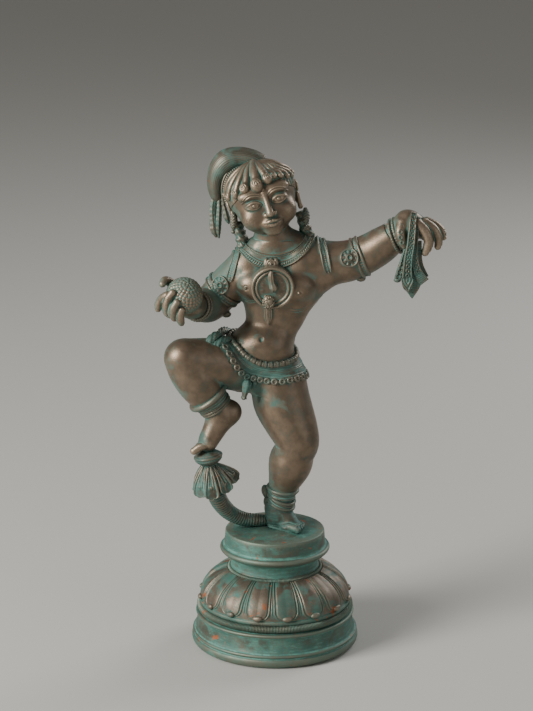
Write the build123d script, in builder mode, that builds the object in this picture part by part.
"""Dancing figure on a lotus pedestal: a patinated bronze casting, assembled from sections.

Millimetres, +Z up, the figure facing -Y. The origin is on the pedestal's axis, on the plane it stands on.
The sections meet at the ornaments, where a foundry hides its joints. Round spigots cast on one section
plug into sockets in the next, and a tenon under the standing foot is held by a nut inside the base.
"""

from build123d import *
import os

os.makedirs("parts", exist_ok=True)

# ---- driving dimensions -------------------------------------------------------------------------------
BASE_R = 60.2  # widest radius of the pedestal
DRUM_R = 35.5  # radius of the drum under the figure
DRUM_TOP = 85.0  # height of the plane that the foot stands on
DRUM_ROOF = 5.0  # thickness of the drum's top
PETALS = 16  # lotus petals round the pedestal
FIT = 0.05  # clearance round a spigot in its socket
SPIGOT_R = 6.0  # radius of the neck's and the arms' spigots
HIP_SPIGOT_R = 7.0  # radius of the legs' spigots
STEM_SPIGOT_R = 2.6  # radius of the spigot under the stem

# ---- landmarks of the figure ----------------------------------------------------------------------------
HEAD = Vector(-8.5, 0, 328)
HEAD_LEAN = -17  # degrees about Y that the head leans to its right
NECK_TOP = Vector(-5, 3, 308)
NECK_BASE = Vector(-2, 4, 292)
SHOULDER_L = Vector(24, 4, 283)
ELBOW_L = Vector(62, 2, 286)
WRIST_L = Vector(83.5, -4, 302.5)
KNUCKLES_L = Vector(96, -8, 308)
SHOULDER_R = Vector(-22, 5, 276)
ELBOW_R = Vector(-45, 9, 249)
WRIST_R = Vector(-54, -17, 255)
BALL = Vector(-62.5, -31, 265)
BALL_R = 12.8
HIP_L = Vector(4, 3, 194)
KNEE_L = Vector(16, -5.5, 152)
ANKLE_L = Vector(4.5, 3, 107)
HEEL_L = Vector(-0.5, 6.5, DRUM_TOP)
FOOT_YAW = -32  # direction of the standing foot, in degrees from +X
FOOT_WAY = Vector(1, 0, 0).rotate(Axis.Z, FOOT_YAW)
HIP_R = Vector(-20, 3, 206)
KNEE_R = Vector(-64, -20, 218)
ANKLE_R = Vector(-39.5, -13, 184)
TOE_R = Vector(-50, -20, 156)
BUD = Vector(-46.5, -18, 144)
PENDANT = Vector(-1.5, -15.0, 266.5)
PENDANT_R = 13.0

# (height, centre x, centre y, half width, half depth) of the torso, from the hips to the base of the neck
TORSO = [
    (190, -8, 4, 21, 15),
    (204, -9, 3, 25, 18),
    (218, -10, 1, 24, 18),
    (228, -7.5, 1.5, 23, 16.5),
    (240, 0, 3, 21, 14.5),
    (253, 2.5, 3, 25.5, 16),
    (266, 1, 3, 28, 17.5),
    (278, 0, 4, 27, 15),
    (287, -0.5, 4, 22, 13),
    (295, -2, 4, 13, 11.5),
]


# ---- shared shapes --------------------------------------------------------------------------------------
def square_to(centre, direction, side):
    """Plane at centre, square to direction, its x axis as near as possible to side."""
    along = direction.normalized()
    across = side - along * side.dot(along)
    return Plane(origin=centre, x_dir=across, z_dir=along)


def limb(stations, rounded=(True, True)):
    """Loft through (centre, radius) stations, all square to the line from end to end, with rounded ends."""
    direction = stations[-1][0] - stations[0][0]
    with BuildPart() as shape:
        for centre, radius in stations:
            with BuildSketch(square_to(centre, direction, Vector(0.1, 1, 0.2))):
                Circle(radius)
        loft()
        for (centre, radius), wanted in zip((stations[0], stations[-1]), rounded):
            if wanted:
                with Locations(centre):
                    Sphere(radius * 0.998)
    return shape


def pin(start, direction, radius, length, grow=0.0):
    """Round pin from start along direction; grow makes it the socket of the same pin."""
    with BuildPart() as rod:
        with BuildSketch(square_to(start, direction, Vector(1, 0.3, 0.1))):
            Circle(radius + grow)
        extrude(amount=length + grow)
    return rod.part


def hoop(centre, direction, radii, wire):
    """Round-wire ring about centre, square to direction, with radii along X and across it."""
    with BuildPart() as ring:
        with BuildSketch(square_to(centre, direction, Vector(1, 0, 0)), mode=Mode.PRIVATE) as outline:
            Ellipse(*radii)
        edge = outline.sketch.edges()[0]
        with BuildSketch(Plane(origin=edge @ 0, z_dir=edge % 0)):
            Circle(wire)
        sweep(path=Wire(edge))
    return ring


def puck(centre, direction, radius, width):
    """Round-edged disc about centre, square to direction: the blank of a band round a limb."""
    with BuildPart() as blank:
        start = centre - direction.normalized() * (width / 2)
        with BuildSketch(square_to(start, direction, Vector(1, 0.2, 0))):
            Circle(radius)
        extrude(amount=width)
        fillet(blank.edges().filter_by(GeomType.CIRCLE), width * 0.25)
    return blank


def egg(centre, across, along, turn=(0, 0, 0)):
    """Ellipse revolved about Z, with these half sizes, then turned about X, Y and Z."""
    with BuildPart() as shape:
        with BuildSketch(Plane.XZ):
            with BuildLine():
                side = EllipticalCenterArc((0, 0), across, along, start_angle=-90, arc_size=180)
                Line(side @ 0, side @ 1)
            make_face()
        revolve(axis=Axis.Z)
    return Location(centre, turn) * shape.part


def torso_shape(grow=0.0):
    """Loft through the torso's sections, each grown outwards."""
    with BuildPart() as shape:
        for height, x, y, half_width, half_depth in TORSO:
            with BuildSketch(Plane(origin=(x, y, height), x_dir=(1, 0, 0), z_dir=(0, 0, 1))):
                Ellipse(half_width + grow, half_depth + grow)
        loft()
    return shape


def join(*solids):
    """One part from overlapping solids."""
    with BuildPart() as whole:
        for solid in solids:
            add(solid.part if hasattr(solid, "part") else solid)
    return whole


def cut_clear(blank, *others):
    """Takes other pieces out of a blank, so that they touch and don't overlap, and keeps the largest solid."""
    with BuildPart() as cut:
        add(blank.part if hasattr(blank, "part") else blank)
        for other in others:
            add(other.part if hasattr(other, "part") else other, mode=Mode.SUBTRACT)
    with BuildPart() as whole:
        add(cut.part.solids().sort_by(SortBy.VOLUME)[-1])
    return whole


def plug(inner, outer, start, direction, radius, length):
    """Adds a spigot to the inner piece and cuts its socket out of the outer one."""
    rod = pin(start, direction, radius, length)
    socket = pin(start, direction, radius, length, FIT)
    return join(inner, rod), cut_clear(outer, socket)


# ---- pedestal -------------------------------------------------------------------------------------------
with BuildPart() as pedestal_base:
    with BuildSketch(Plane.XZ):
        with BuildLine():
            foot_ring = Line((53.0, 0), (57.0, 0))
            plinth = ThreePointArc((57.0, 0), (BASE_R, 3.8), (59.4, 7.4))
            frieze = ThreePointArc((59.4, 7.4), (58.6, 16), (56.2, 22.4))
            lip = Polyline((56.2, 22.4), (56.6, 24.2), (54.4, 25.2), (51.6, 26.0))
            ledge = Polyline((51.6, 26.0), (51.6, 30.6), (53.0, 32.5))
            dome = ThreePointArc((53.0, 32.5), (48.6, 44.6), (35.5, 53.5))
            top = Polyline((35.5, 53.5), (32.4, 54.2), (32.4, 56.0), (28.0, 56.0), (28.0, 50.0))
            cavity = ThreePointArc((28.0, 50.0), (43.0, 41.5), (48.0, 29.0))
            inner_wall = Polyline((48.0, 29.0), (48.0, 24.0), (53.0, 16.0), (53.0, 0))
        make_face()
    revolve(axis=Axis.Z)

with BuildPart() as lower_rope_ring:
    with BuildSketch(Plane.XZ):
        with Locations((53.9, 28.2)):
            Circle(2.7)
    revolve(axis=Axis.Z)
    add(pedestal_base.part, mode=Mode.SUBTRACT)

# where the foot's tenon leaves the drum's roof
TENON = Vector(HEEL_L.X + 5, HEEL_L.Y - 3, DRUM_TOP - DRUM_ROOF)
TENON_R = 4.0
TENON_LENGTH = 10.0  # how far the tenon stands below the drum's roof
with BuildPart() as pedestal_drum:
    with BuildSketch(Plane.XZ):
        with BuildLine():
            seat = Polyline((27.95, 50.5), (27.95, 56.0), (32.3, 56.0))
            neck = ThreePointArc((32.3, 56.0), (30.8, 62.0), (33.4, 66.6))
            flange = ThreePointArc((33.4, 66.6), (39.6, 71.0), (35.9, 74.6))
            wall = Polyline((35.9, 74.6), (DRUM_R, DRUM_TOP), (0, DRUM_TOP), (0, DRUM_TOP - DRUM_ROOF))
            roof = Line((0, DRUM_TOP - DRUM_ROOF), (26.0, DRUM_TOP - DRUM_ROOF))
            bore = Polyline((26.0, DRUM_TOP - DRUM_ROOF), (26.0, 50.5), (27.95, 50.5))
        make_face()
    revolve(axis=Axis.Z)
    with BuildSketch(Plane.XY.offset(DRUM_TOP - DRUM_ROOF - 1)):
        with Locations((TENON.X, TENON.Y)):
            Circle(TENON_R + FIT)
    extrude(amount=DRUM_ROOF + 2, mode=Mode.SUBTRACT)

with BuildPart() as upper_rope_ring:
    with BuildSketch(Plane.XZ):
        with Locations((33.4, 55.8)):
            Circle(1.9)
    revolve(axis=Axis.Z)
    add(pedestal_base.part, mode=Mode.SUBTRACT)
    add(pedestal_drum.part, mode=Mode.SUBTRACT)

# One petal is a skin on the dome with a gap to the next one, and an upturned knob at its foot.
PETAL_GAP = 3.0  # degrees between petals
PETAL_ARC = 360 / PETALS - PETAL_GAP
FIRST_PETAL = -81.0  # direction of one petal's middle, in degrees from +X
with BuildPart() as one_petal:
    with BuildSketch(Plane.XZ.rotated((0, 0, FIRST_PETAL - PETAL_ARC / 2))):
        with BuildLine():
            under = ThreePointArc((52.2, 36.6), (48.6, 44.6), (38.6, 52.2))
            over = ThreePointArc((53.9, 36.9), (50.0, 45.6), (39.3, 53.9))
            foot = Line(under @ 0, over @ 0)
            crest = Line(under @ 1, over @ 1)
        make_face()
    revolve(axis=Axis.Z, revolution_arc=PETAL_ARC)
    with Locations(Vector(53.0, 0, 36.2).rotate(Axis.Z, FIRST_PETAL)):
        Sphere(2.3)
    add(pedestal_base.part, mode=Mode.SUBTRACT)
    add(lower_rope_ring.part, mode=Mode.SUBTRACT)
with BuildPart() as lotus_petals:
    with PolarLocations(0, PETALS):
        add(one_petal.part)

# ---- torso and legs -------------------------------------------------------------------------------------
torso = torso_shape()

standing_leg = cut_clear(
    limb(
        [
            (HIP_L, 18.5),
            (Vector(6, 2, 180), 20.0),
            (Vector(12, -2.5, 165), 18.0),
            (KNEE_L, 15.6),
            (Vector(11.5, -3, 137), 15.4),
            (Vector(8.5, 0.5, 124), 13.2),
            (ANKLE_L + Vector(1, 0, 8), 9.6),
            (ANKLE_L, 8.8),
        ],
        rounded=(True, False),
    ),
    torso,
)
thigh = limb(
    [
        (HIP_R, 17.6),
        (HIP_R + Vector(-16, -8, 3), 17.6),
        (HIP_R + Vector(-30, -16, 8), 15.6),
        (KNEE_R, 13.2),
    ]
)
shin = limb(
    [
        (KNEE_R + Vector(0.5, -0.5, 2), 12.8),
        (KNEE_R + Vector(6, 1.0, -8), 14.4),
        (KNEE_R + Vector(13, 2.5, -18), 14.2),
        (KNEE_R + Vector(19, 4.5, -27), 12.0),
        (ANKLE_R, 9.6),
    ],
    rounded=(True, False),
)
raised_leg = cut_clear(join(thigh, shin), torso, standing_leg)

# ---- arms -------------------------------------------------------------------------------------------------
left_arm = cut_clear(
    limb(
        [
            (SHOULDER_L, 14.5),
            (SHOULDER_L + Vector(16, 0, 1), 14.0),
            (ELBOW_L + Vector(-12, 0.5, -1), 13.2),
            (ELBOW_L + Vector(1, -0.5, 1), 12.6),
            (ELBOW_L + Vector(11, -3, 7.5), 12.0),
            (WRIST_L, 9.8),
        ],
        rounded=(True, False),
    ),
    torso,
)
upper_arm = limb([(SHOULDER_R, 13.4), (SHOULDER_R + Vector(-11, 2, -11), 13.2), (ELBOW_R, 12.0)])
forearm = limb(
    [(ELBOW_R, 11.7), (ELBOW_R + Vector(-4.5, -14, 3), 10.8), (WRIST_R, 8.8)], rounded=(True, False)
)
right_arm = cut_clear(join(upper_arm, forearm), torso)

# ---- neck and head ----------------------------------------------------------------------------------------
neck = limb(
    [(NECK_BASE, 12.0), (NECK_BASE + Vector(-1, 0, 7), 10.8), (NECK_TOP, 11.0)], rounded=(False, True)
)
head = cut_clear(
    join(
        neck,
        egg(HEAD, 22.6, 27, (0, HEAD_LEAN, 0)),
        egg(HEAD + Vector(24.5, 4, -5), 4.0, 9, (0, HEAD_LEAN, 0)),
        egg(HEAD + Vector(-22.5, 4, -12), 4.0, 9, (0, HEAD_LEAN, 0)),
        egg(HEAD + Vector(-0.5, -21.5, -4), 3.4, 6, (0, HEAD_LEAN, 0)),
    ),
    torso,
)

# ---- spigots and sockets ----------------------------------------------------------------------------------
neck_seat = NECK_BASE + Vector(0, 0, 8)
head, torso = plug(head, torso, neck_seat, Vector(0, 0, -1), SPIGOT_R, 20)
hip_seat = HIP_L + Vector(1, 0, -14)
standing_leg, torso = plug(standing_leg, torso, hip_seat, Vector(-3, 2, 14), HIP_SPIGOT_R, 22)
thigh_seat = HIP_R + Vector(-24, -10, 3)
raised_leg, torso = plug(raised_leg, torso, thigh_seat, Vector(18, 7, 1), HIP_SPIGOT_R, 22)
left_seat = SHOULDER_L + Vector(12, 0, 1)
left_arm, torso = plug(left_arm, torso, left_seat, Vector(-1, 0, -0.1), SPIGOT_R, 18)
right_seat = SHOULDER_R + Vector(-11, 2, -10)
right_arm, torso = plug(right_arm, torso, right_seat, Vector(1, -0.1, 0.8), SPIGOT_R, 18)

# ---- standing foot, its tenon, washer and nut -------------------------------------------------------------
foot_blank = join(
    limb(
        [(ANKLE_L, 8.8), (ANKLE_L + Vector(-1, 1, -8), 9.0), (HEEL_L + Vector(3, -2, 4), 9.4)],
        rounded=(False, False),
    ),
    egg(HEEL_L + FOOT_WAY * 10.5 + Vector(0, 0, 3.2), 9.6, 20, (0, 90, FOOT_YAW)),
)
with BuildPart() as standing_foot:
    add(foot_blank.part)
    with Locations((0, 0, DRUM_TOP - 50)):
        Box(300, 300, 100, mode=Mode.SUBTRACT)
    with BuildSketch(Plane.XY.offset(TENON.Z - TENON_LENGTH)):
        with Locations((TENON.X, TENON.Y)):
            Circle(TENON_R)
    extrude(amount=TENON_LENGTH + DRUM_ROOF + 2)
standing_foot = cut_clear(standing_foot, standing_leg)

NUT_R = 7.5  # across the nut's corners, halved
NUT_H = 5.0
WASHER_R = 9.0
WASHER_H = 1.5
with BuildPart() as tenon_washer:
    with BuildSketch(Plane.XY.offset(TENON.Z - WASHER_H)):
        with Locations((TENON.X, TENON.Y)):
            Circle(WASHER_R)
            Circle(TENON_R + FIT, mode=Mode.SUBTRACT)
    extrude(amount=WASHER_H)
with BuildPart() as tenon_nut:
    with BuildSketch(Plane.XY.offset(TENON.Z - WASHER_H - NUT_H)):
        with Locations((TENON.X, TENON.Y)):
            RegularPolygon(NUT_R, 6)
            Circle(TENON_R, mode=Mode.SUBTRACT)
    extrude(amount=NUT_H)

# ---- raised foot and its support --------------------------------------------------------------------------
raised_foot = cut_clear(
    limb(
        [
            (ANKLE_R + Vector(5.5, 0.5, -4), 9.8),
            (ANKLE_R + Vector(2.5, -1.0, -11), 9.4),
            (ANKLE_R + Vector(-4.0, -3.5, -19), 9.0),
            (TOE_R + Vector(2.5, 1.0, 3), 7.4),
        ]
    ),
    raised_leg,
)

with BuildPart() as bud_blank:
    with BuildSketch(Plane.XZ):
        with BuildLine():
            lip = Polyline((0, -4.5), (0, 7.5), (6.0, 7.5), (10.0, 5.0))
            bowl = ThreePointArc((10.0, 5.0), (9.0, 0.0), (4.6, -4.5))
            Line((4.6, -4.5), (0, -4.5))
        make_face()
    revolve(axis=Axis.Z)
support_bud = cut_clear(Location(BUD, (0, -8, 0)) * bud_blank.part, raised_foot)

SKIRT_TOP = BUD + Vector(0.6, 0, -4.7)
SKIRT_LEAN = -18  # degrees about Y that the petal skirt leans
with BuildPart() as skirt_blank:
    with BuildSketch(Plane.XZ):
        with BuildLine():
            crown = Line((0, 0), (4.6, 0))
            outside = ThreePointArc((4.6, 0), (8.6, -10.0), (14.5, -19.5))
            hem = Line((14.5, -19.5), (12.8, -20.6))
            inside = ThreePointArc((12.8, -20.6), (8.4, -14.5), (6.0, -11.0))
            Polyline((6.0, -11.0), (0, -11.0), (0, 0))
        make_face()
    revolve(axis=Axis.Z)
petal_skirt = cut_clear(Location(SKIRT_TOP, (0, SKIRT_LEAN, 0)) * skirt_blank.part, support_bud)

support_stem = cut_clear(
    limb(
        [
            (SKIRT_TOP + Vector(3.7, 0, -11.8), 5.8),
            (SKIRT_TOP + Vector(8.0, 3, -23), 6.8),
            (Vector(-31, -8, DRUM_TOP + 17), 6.6),
            (Vector(-23, 1, DRUM_TOP + 8.5), 6.2),
            (Vector(-13, 9, DRUM_TOP + 4.8), 4.6),
            (Vector(-6, 15, DRUM_TOP + 3.5), 3.2),
        ],
        rounded=(False, False),
    ),
    petal_skirt,
)
stem_seat = Vector(-14, 8, DRUM_TOP + 4)
support_stem, pedestal_drum = plug(
    support_stem, pedestal_drum, stem_seat, Vector(0, 0, -1), STEM_SPIGOT_R, 8
)

# ---- hands and what they hold -----------------------------------------------------------------------------
with BuildPart() as butter_ball:
    with Locations(BALL):
        Sphere(BALL_R)
palm = limb(
    [(WRIST_R, 8.8), (WRIST_R + Vector(-4, -6, 0), 9.2), (BALL + Vector(-1, 1, -8), 10.6)],
    rounded=(False, True),
)
fingers = limb(
    [(BALL + Vector(-8, -1, -9), 4.0), (BALL + Vector(-15.2, -1, -1), 3.2), (BALL + Vector(-13.5, -1, 7), 2.6)]
)
right_hand = cut_clear(join(palm, fingers), butter_ball, right_arm)
left_hand = cut_clear(
    limb(
        [
            (WRIST_L, 9.8),
            (WRIST_L + Vector(6, -2, 4), 9.2),
            (KNUCKLES_L, 8.6),
            (KNUCKLES_L + Vector(15.5, -2, -9.5), 5.5),
        ],
        rounded=(False, True),
    ),
    left_arm,
)
CLOTH_FRONT = -15.0  # y of the back face of the cloth over the left hand
with BuildPart() as held_cloth:
    with BuildSketch(Plane(origin=(0, CLOTH_FRONT, 0), x_dir=(1, 0, 0), z_dir=(0, -1, 0))):
        with BuildLine():
            outline = Polyline(
                (86, 312),
                (94, 315),
                (98, 306),
                (97, 290),
                (106, 274),
                (99, 270),
                (94, 261),
                (88, 268),
                (82, 272),
                (86, 290),
                (86, 312),
            )
        make_face()
    extrude(amount=7)
hand_cloth = cut_clear(held_cloth, left_hand)

# ---- girdle, hip cloth, beads, knot and tassel ------------------------------------------------------------
GIRDLE = Vector(-9, 1, 217.5)
GIRDLE_UP = Vector(0.13, 0.32, 1)  # the girdle's plane drops at the front and at the figure's left
GIRDLE_H = 4.8
with BuildPart() as girdle_blank:
    add(torso_shape(2.8).part)
    with BuildSketch(square_to(GIRDLE - GIRDLE_UP.normalized() * (GIRDLE_H / 2), GIRDLE_UP, Vector(1, 0, 0))):
        Circle(60)
    extrude(amount=GIRDLE_H, mode=Mode.INTERSECT)
waist_girdle = cut_clear(girdle_blank, torso, raised_leg, standing_leg)
CLOTH_HEM = GIRDLE + Vector(3, -2.0, -16.5)
with BuildPart() as cloth_blank:
    with BuildSketch(square_to(GIRDLE - GIRDLE_UP.normalized() * 2.45, GIRDLE_UP, Vector(1, 0, 0))):
        Ellipse(26, 20)
    with BuildSketch(square_to(CLOTH_HEM, GIRDLE_UP, Vector(1, 0, 0))):
        Ellipse(30, 24)
    loft()
hip_cloth = cut_clear(cloth_blank, torso, waist_girdle, raised_leg, standing_leg)
bead_blank = hoop(CLOTH_HEM - Vector(0, 0, 1), GIRDLE_UP, (29.5, 23.5), 2.1)
bead_row = cut_clear(bead_blank, torso, hip_cloth, raised_leg, standing_leg)
hip_knot = cut_clear(egg(Vector(-42, -17, 229), 7.5, 9.5, (0, 60, 0)), raised_leg, hip_cloth, bead_row)
tassel_blank = limb([(Vector(-18, -17, 202), 4.6), (Vector(-21, -17.5, 190), 3.4)])
loin_tassel = cut_clear(tassel_blank, torso, raised_leg, standing_leg, hip_cloth, bead_row)

# ---- necklace and pendant ---------------------------------------------------------------------------------
with BuildPart() as necklace_blank:
    add(torso_shape(2.2).part)
    with BuildSketch(square_to(Vector(-1, 0, 285.5), Vector(0, -0.35, 1), Vector(1, 0, 0))):
        Circle(60)
    extrude(amount=6.5, mode=Mode.INTERSECT)
necklace = cut_clear(necklace_blank, torso, head, left_arm, right_arm)
with BuildPart(square_to(PENDANT, Vector(0, -1, 0.12), Vector(1, 0, 0))) as pendant_ring:
    Torus(PENDANT_R, 2.4)
pendant_clasp = limb([(PENDANT + Vector(-0.5, 2.5, 14.5), 4.6), (PENDANT + Vector(-0.5, -2.0, 14.5), 4.2)])
pendant_drop = limb([(PENDANT + Vector(-1.5, -1.0, -12), 4.3), (PENDANT + Vector(-3, -0.5, -22), 2.6)])
pendant = cut_clear(join(pendant_ring, pendant_clasp, pendant_drop), torso, necklace)

# ---- bands on the arms and ankles -------------------------------------------------------------------------
ARM_L = WRIST_L - ELBOW_L
UPPER_L = Vector(1, 0, 0.05)
armlet_blank = join(
    puck(ELBOW_L + Vector(-4.5, 0.3, -0.5), UPPER_L, 14.8, 5.0),
    egg(ELBOW_L + Vector(-13.5, -10.5, 1.5), 6.3, 3.8, (90, 0, 0)),
)
left_armlet = cut_clear(armlet_blank, left_arm)
bracelet_blank = puck(WRIST_L - ARM_L.normalized() * 0.5, ARM_L, 11.2, 5.0)
left_bracelet = cut_clear(bracelet_blank, left_arm, left_hand, hand_cloth)
left_shoulder_strap = cut_clear(puck(SHOULDER_L + Vector(11.5, 0, 0.8), UPPER_L, 16.0, 4.5), left_arm)
UPPER_R = ELBOW_R - SHOULDER_R
armlet_blank = join(
    puck(ELBOW_R - UPPER_R * 0.16, UPPER_R, 14.0, 4.5),
    egg(ELBOW_R + Vector(6.5, -9.5, 14.0), 6.5, 4.0, (90, 0, 0)),
)
right_armlet = cut_clear(armlet_blank, right_arm, torso)
strap_blank = puck(SHOULDER_R + UPPER_R * 0.24, UPPER_R, 14.8, 4.5)
right_shoulder_strap = cut_clear(strap_blank, right_arm, torso, right_armlet)
right_bracelet = cut_clear(puck(WRIST_R, WRIST_R - ELBOW_R, 10.4, 5.0), right_arm, right_hand, butter_ball)
standing_anklet = cut_clear(
    puck(ANKLE_L + Vector(0.3, 0, 0.8), Vector(0.25, -0.2, 1), 11.2, 7.0), standing_leg, standing_foot
)
raised_anklet = cut_clear(puck(ANKLE_R, ANKLE_R - KNEE_R, 11.4, 6.0), raised_leg, raised_foot)

# ---- hair and ear ornaments -------------------------------------------------------------------------------
hair_bun = cut_clear(
    limb(
        [
            (Vector(-17, 8, 349), 11.0),
            (Vector(-26, 10, 348), 12.6),
            (Vector(-35, 11, 340), 12.0),
            (Vector(-40.5, 11, 328), 9.0),
            (Vector(-41, 10, 319), 5.0),
        ]
    ),
    head,
)
side_tassel = cut_clear(
    limb([(Vector(-41, 9, 315), 4.6), (Vector(-41.5, 8, 307), 5.2), (Vector(-40.8, 8, 299), 4.2)]),
    hair_bun,
    head,
)
curl = egg((0, -21.5, 0), 3.6, 5.5)
HAIRLINE = Location((0, 0, 0), (-34, 0, 0))  # lifts a curl from the head's middle to the hairline
with BuildPart() as forehead_curls:
    for turn in (-60, -40, -20, 0, 20, 40, 60):
        add(Location(HEAD, (0, HEAD_LEAN, 0)) * Location((0, 0, 0), (0, 0, turn)) * HAIRLINE * curl)
    add(head.part, mode=Mode.SUBTRACT)
    add(hair_bun.part, mode=Mode.SUBTRACT)
left_earring = cut_clear(limb([(Vector(19.5, 1, 313), 4.2), (Vector(20.3, 0, 306.5), 3.6)]), head)
right_earring = cut_clear(limb([(Vector(-28.0, 0, 311), 4.2), (Vector(-27.2, -1, 304.5), 3.6)]), head)
left_lock = limb([(Vector(18.0, 8, 312), 4.0), (Vector(21.0, 7, 303), 4.4), (Vector(23.0, 6, 294), 4.0)])
left_hair_lock = cut_clear(left_lock, head, torso, left_arm, left_earring, necklace)
right_lock = limb([(Vector(-24.5, 8, 308), 4.0), (Vector(-24.0, 7, 298), 4.4), (Vector(-22.5, 6, 289), 4.0)])
right_hair_lock = cut_clear(right_lock, head, torso, right_arm, right_earring, necklace)

# ---- files ------------------------------------------------------------------------------------------------
PIECES = {
    "pedestal_base": pedestal_base,
    "lower_rope_ring": lower_rope_ring,
    "lotus_petals": lotus_petals,
    "upper_rope_ring": upper_rope_ring,
    "pedestal_drum": pedestal_drum,
    "tenon_washer": tenon_washer,
    "tenon_nut": tenon_nut,
    "standing_foot": standing_foot,
    "standing_anklet": standing_anklet,
    "standing_leg": standing_leg,
    "raised_leg": raised_leg,
    "raised_anklet": raised_anklet,
    "raised_foot": raised_foot,
    "support_bud": support_bud,
    "petal_skirt": petal_skirt,
    "support_stem": support_stem,
    "torso": torso,
    "waist_girdle": waist_girdle,
    "hip_cloth": hip_cloth,
    "bead_row": bead_row,
    "hip_knot": hip_knot,
    "loin_tassel": loin_tassel,
    "necklace": necklace,
    "pendant": pendant,
    "left_arm": left_arm,
    "left_shoulder_strap": left_shoulder_strap,
    "left_armlet": left_armlet,
    "left_bracelet": left_bracelet,
    "left_hand": left_hand,
    "hand_cloth": hand_cloth,
    "right_arm": right_arm,
    "right_shoulder_strap": right_shoulder_strap,
    "right_armlet": right_armlet,
    "right_bracelet": right_bracelet,
    "right_hand": right_hand,
    "butter_ball": butter_ball,
    "head": head,
    "hair_bun": hair_bun,
    "side_tassel": side_tassel,
    "forehead_curls": forehead_curls,
    "left_earring": left_earring,
    "right_earring": right_earring,
    "left_hair_lock": left_hair_lock,
    "right_hair_lock": right_hair_lock,
}
for name, piece in PIECES.items():
    piece.part.label = name
    export_step(piece.part, f"parts/{name}.step")
